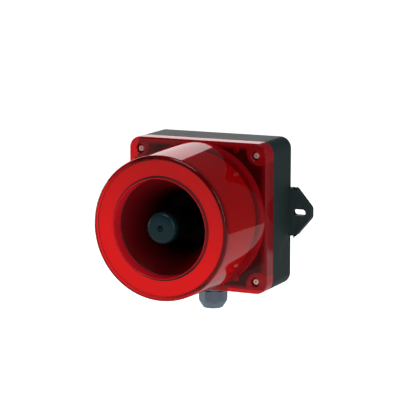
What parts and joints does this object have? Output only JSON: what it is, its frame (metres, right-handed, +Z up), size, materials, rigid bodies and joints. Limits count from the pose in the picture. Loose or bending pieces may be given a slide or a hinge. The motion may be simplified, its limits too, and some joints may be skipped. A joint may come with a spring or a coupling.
{
  "type": "alarm siren",
  "caption": "Wall-mounted alarm siren: square case with slotted ears, clear red cover with a ring-shaped beacon lens around a folded horn, and a cable gland below.",
  "frame": {"origin": "centre of the case's wall face", "axes": "+Y into the wall along the horn axis, +Z up, +X to the right as the horn is seen"},
  "size_m": [0.172, 0.1295, 0.1525],
  "materials": {
    "case": "gloss moulded plastic",
    "brass": "turned",
    "gasket": "matt rubber",
    "chassis": "black moulded plastic",
    "screw_steel": "nickel-plated steel",
    "lens": "clear red polycarbonate, polished",
    "reflector": "white moulded plastic",
    "circuit_board": "solder mask",
    "led": "tinted epoxy",
    "diffuser": "opal",
    "bell": "gloss moulded plastic",
    "plug": "satin moulded plastic",
    "black_screw": "black oxide",
    "plated_steel": "zinc plated",
    "ferrite": "sintered ferrite",
    "driver_case": "glass-filled plastic",
    "diaphragm": "phenolic sheet",
    "copper_wire": "enamelled copper",
    "terminal": "moulded",
    "button": "moulded",
    "adjuster": "moulded",
    "rotor": "moulded",
    "capacitor": "sleeved can",
    "core_steel": "laminated",
    "heat_sink": "black anodised",
    "chip": "moulded epoxy",
    "connector": "moulded nylon",
    "lead": "PVC insulation",
    "gland": "grey nylon",
    "slip_ring": "nylon"
  },
  "bodies": {
    "root": {"base_housing": "case", "threaded_inserts": "brass", "cover_gasket": "gasket", "chassis_plate": "chassis", "chassis_screws": "screw_steel", "led_board": "circuit_board", "beacon_leds": "led", "led_board_screws": "screw_steel", "diffuser_drum": "diffuser", "horn_base": "bell", "horn_bell": "bell", "bell_screws": "screw_steel", "mouth_seal": "gasket", "tone_tube": "bell", "horn_reflector": "plug", "reflector_screw": "black_screw", "driver_yoke": "plated_steel", "driver_magnet": "ferrite", "driver_top_plate": "plated_steel", "driver_housing": "driver_case", "driver_screws": "screw_steel", "main_board": "circuit_board", "board_screws": "screw_steel", "terminal_block": "terminal", "tone_selector": "adjuster", "volume_trimmer": "adjuster", "capacitors": "capacitor", "transformer_core": "core_steel", "transformer_coil": "copper_wire", "heat_sink": "heat_sink", "amplifier_chip": "chip", "control_chip": "chip", "board_connectors": "connector", "driver_terminals": "connector", "wire_leads": "lead", "gland_body": "gland", "gland_locknut": "gland", "gland_washer": "gasket", "gland_seal": "gasket"},
    "cover": {"lens_cover": "lens", "beacon_lens": "lens", "light_ring": "reflector"},
    "diaphragm": {"diaphragm": "diaphragm", "voice_coil": "copper_wire"},
    "tone_rotor": {"tone_rotor": "rotor"},
    "volume_rotor": {"volume_rotor": "rotor"},
    "gland_slip_ring": {"gland_slip_ring": "slip_ring"},
    "gland_nut": {"gland_nut": "gland"},
    "screw_seal_1": {"screw_seal_1": "gasket"},
    "cover_screw_1": {"cover_screw_1": "screw_steel"},
    "terminal_button_1": {"terminal_button_1": "button"},
    "screw_seal_2": {"screw_seal_2": "gasket"},
    "cover_screw_2": {"cover_screw_2": "screw_steel"},
    "terminal_button_2": {"terminal_button_2": "button"},
    "screw_seal_3": {"screw_seal_3": "gasket"},
    "cover_screw_3": {"cover_screw_3": "screw_steel"},
    "terminal_button_3": {"terminal_button_3": "button"},
    "screw_seal_4": {"screw_seal_4": "gasket"},
    "cover_screw_4": {"cover_screw_4": "screw_steel"},
    "terminal_button_4": {"terminal_button_4": "button"}
  },
  "joints": [
    {"name": "cover_lift", "type": "slide", "parent": "root", "child": "cover", "axis": [0, -1, 0], "range_m": [0, 0.1]},
    {"name": "screw_1_travel", "type": "slide", "parent": "cover", "child": "screw_seal_1", "axis": [0, -1, 0], "range_m": [0, 0.006]},
    {"name": "screw_1_turn", "type": "hinge", "parent": "screw_seal_1", "child": "cover_screw_1", "pos_m": [-0.0545, -0.052, 0.0545], "axis": [0, -1, 0], "range_deg": [0, 4320]},
    {"name": "screw_2_travel", "type": "slide", "parent": "cover", "child": "screw_seal_2", "axis": [0, -1, 0], "range_m": [0, 0.006]},
    {"name": "screw_2_turn", "type": "hinge", "parent": "screw_seal_2", "child": "cover_screw_2", "pos_m": [0.0545, -0.052, 0.0545], "axis": [0, -1, 0], "range_deg": [0, 4320]},
    {"name": "screw_3_travel", "type": "slide", "parent": "cover", "child": "screw_seal_3", "axis": [0, -1, 0], "range_m": [0, 0.006]},
    {"name": "screw_3_turn", "type": "hinge", "parent": "screw_seal_3", "child": "cover_screw_3", "pos_m": [-0.0545, -0.052, -0.0545], "axis": [0, -1, 0], "range_deg": [0, 4320]},
    {"name": "screw_4_travel", "type": "slide", "parent": "cover", "child": "screw_seal_4", "axis": [0, -1, 0], "range_m": [0, 0.006]},
    {"name": "screw_4_turn", "type": "hinge", "parent": "screw_seal_4", "child": "cover_screw_4", "pos_m": [0.0545, -0.052, -0.0545], "axis": [0, -1, 0], "range_deg": [0, 4320]},
    {"name": "diaphragm_move", "type": "slide", "parent": "root", "child": "diaphragm", "axis": [0, -1, 0], "range_m": [-0.0004, 0.0004], "stiffness_N_per_m": 2000},
    {"name": "tone_turn", "type": "hinge", "parent": "root", "child": "tone_rotor", "pos_m": [0.024, -0.0136, -0.027], "axis": [0, -1, 0], "range_deg": [-150, 150]},
    {"name": "volume_turn", "type": "hinge", "parent": "root", "child": "volume_rotor", "pos_m": [-0.024, -0.0136, -0.027], "axis": [0, -1, 0], "range_deg": [-135, 135]},
    {"name": "button_1_press", "type": "slide", "parent": "root", "child": "terminal_button_1", "axis": [0, 1, 0], "range_m": [0, 0.0015], "stiffness_N_per_m": 2000, "springref_m": -0.001},
    {"name": "button_2_press", "type": "slide", "parent": "root", "child": "terminal_button_2", "axis": [0, 1, 0], "range_m": [0, 0.0015], "stiffness_N_per_m": 2000, "springref_m": -0.001},
    {"name": "button_3_press", "type": "slide", "parent": "root", "child": "terminal_button_3", "axis": [0, 1, 0], "range_m": [0, 0.0015], "stiffness_N_per_m": 2000, "springref_m": -0.001},
    {"name": "button_4_press", "type": "slide", "parent": "root", "child": "terminal_button_4", "axis": [0, 1, 0], "range_m": [0, 0.0015], "stiffness_N_per_m": 2000, "springref_m": -0.001},
    {"name": "gland_travel", "type": "slide", "parent": "root", "child": "gland_slip_ring", "axis": [0, 0, -1], "range_m": [0, 0.006]},
    {"name": "gland_nut_turn", "type": "hinge", "parent": "gland_slip_ring", "child": "gland_nut", "pos_m": [0, -0.022, -0.08], "axis": [0, 0, -1], "range_deg": [0, 1440]}
  ],
  "couplings": [
    {"joint": "screw_1_turn", "follows": "screw_1_travel", "rad_per_m": 12566},
    {"joint": "screw_2_turn", "follows": "screw_2_travel", "rad_per_m": 12566},
    {"joint": "screw_3_turn", "follows": "screw_3_travel", "rad_per_m": 12566},
    {"joint": "screw_4_turn", "follows": "screw_4_travel", "rad_per_m": 12566},
    {"joint": "gland_travel", "follows": "gland_nut_turn", "m_per_rad": 0.00023873}
  ]
}
